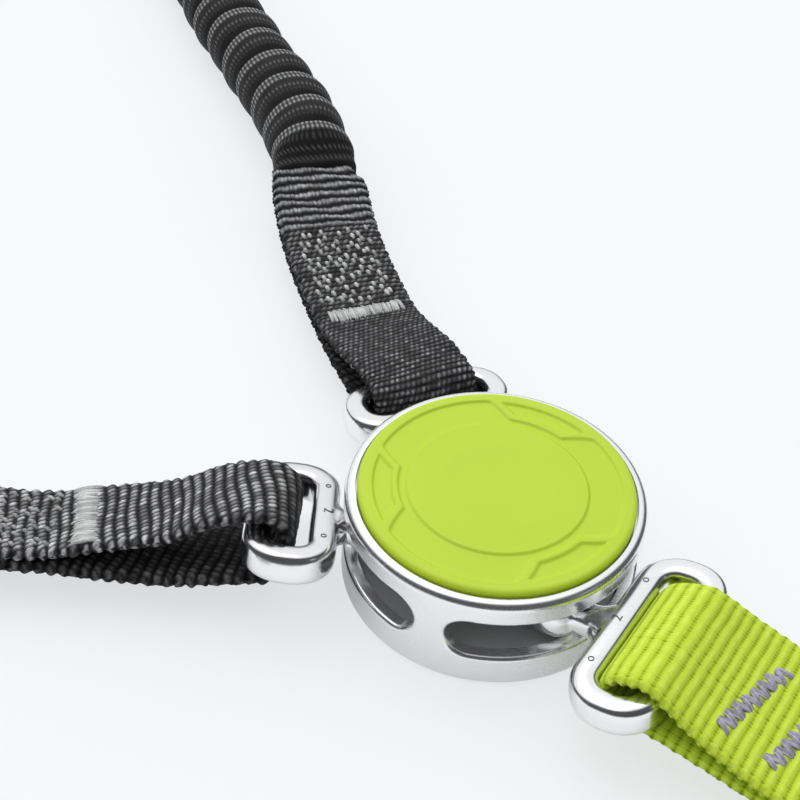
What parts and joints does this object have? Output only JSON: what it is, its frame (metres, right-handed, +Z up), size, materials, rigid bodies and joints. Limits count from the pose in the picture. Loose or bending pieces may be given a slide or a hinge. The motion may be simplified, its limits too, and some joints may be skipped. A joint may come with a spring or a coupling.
{
  "type": "via ferrata lanyard",
  "caption": "Via ferrata lanyard with a swivel hub: elastic arms ending in carabiners, and a webbing tail with an energy absorber and tie-in loop.",
  "frame": {"origin": "centre of the hub's underside, on the surface it lies on", "axes": "+Z up along the hub's axis, +X and +Y as the picture's right and away"},
  "size_m": [0.5828, 0.4703, 0.0197],
  "materials": {
    "satin_aluminium": "satin, turned",
    "forged_aluminium": "polished forging",
    "gate_aluminium": "satin",
    "steel": "machined",
    "lime_pad": "matt moulded",
    "acetal": "machined",
    "dark_webbing": "woven",
    "lime_webbing": "woven",
    "dark_fabric": "woven, pleated",
    "rubber": "matt",
    "lever_plastic": "moulded"
  },
  "bodies": {
    "hub": {"housing_cup": "satin_aluminium", "core_drum": "steel", "lower_glide_ring": "acetal", "upper_glide_ring": "acetal", "cover_plate": "steel", "centre_bolt": "steel", "top_pad": "lime_pad"},
    "rear_arm": {"rear_link": "forged_aluminium", "rear_strap": "dark_webbing", "rear_elastic": "dark_fabric", "rear_end_loop": "dark_webbing", "rear_keeper": "rubber", "rear_carabiner_frame": "forged_aluminium", "rear_carabiner_gate_pin": "steel", "rear_carabiner_lever_pin": "steel"},
    "rear_gate": {"rear_carabiner_gate": "gate_aluminium", "rear_carabiner_gate_plunger": "steel"},
    "rear_lever": {"rear_carabiner_lever": "lever_plastic"},
    "left_arm": {"left_link": "forged_aluminium", "left_strap": "dark_webbing", "left_elastic": "dark_fabric", "left_end_loop": "dark_webbing", "left_keeper": "rubber", "left_carabiner_frame": "forged_aluminium", "left_carabiner_gate_pin": "steel", "left_carabiner_lever_pin": "steel"},
    "left_gate": {"left_carabiner_gate": "gate_aluminium", "left_carabiner_gate_plunger": "steel"},
    "left_lever": {"left_carabiner_lever": "lever_plastic"},
    "tail": {"tail_link": "forged_aluminium", "tail_strap": "lime_webbing", "absorber_pouch": "dark_fabric", "tear_webbing": "lime_webbing", "tie_in_loop": "lime_webbing"}
  },
  "joints": [
    {"name": "rear_travel", "type": "hinge", "parent": "hub", "child": "rear_arm", "pos_m": [0, 0, 0.0101], "axis": [0, 0, 1], "range_deg": [-60, 0]},
    {"name": "left_travel", "type": "hinge", "parent": "hub", "child": "left_arm", "pos_m": [0, 0, 0.0101], "axis": [0, 0, 1], "range_deg": [-10, 35]},
    {"name": "tail_travel", "type": "hinge", "parent": "hub", "child": "tail", "pos_m": [0, 0, 0.0101], "axis": [0, 0, 1], "range_deg": [-30, 30]},
    {"name": "rear_gate_swing", "type": "hinge", "parent": "rear_arm", "child": "rear_gate", "pos_m": [-0.16004, 0.15679, 0.0055], "axis": [0, 0, 1], "range_deg": [-32, 0]},
    {"name": "rear_lever_squeeze", "type": "hinge", "parent": "rear_arm", "child": "rear_lever", "pos_m": [-0.20157, 0.15097, 0.0055], "axis": [0, 0, 1], "range_deg": [0, 5]},
    {"name": "left_gate_swing", "type": "hinge", "parent": "left_arm", "child": "left_gate", "pos_m": [-0.16359, -0.06335, 0.0055], "axis": [0, 0, 1], "range_deg": [-32, 0]},
    {"name": "left_lever_squeeze", "type": "hinge", "parent": "left_arm", "child": "left_lever", "pos_m": [-0.15468, -0.10432, 0.0055], "axis": [0, 0, 1], "range_deg": [0, 5]}
  ]
}
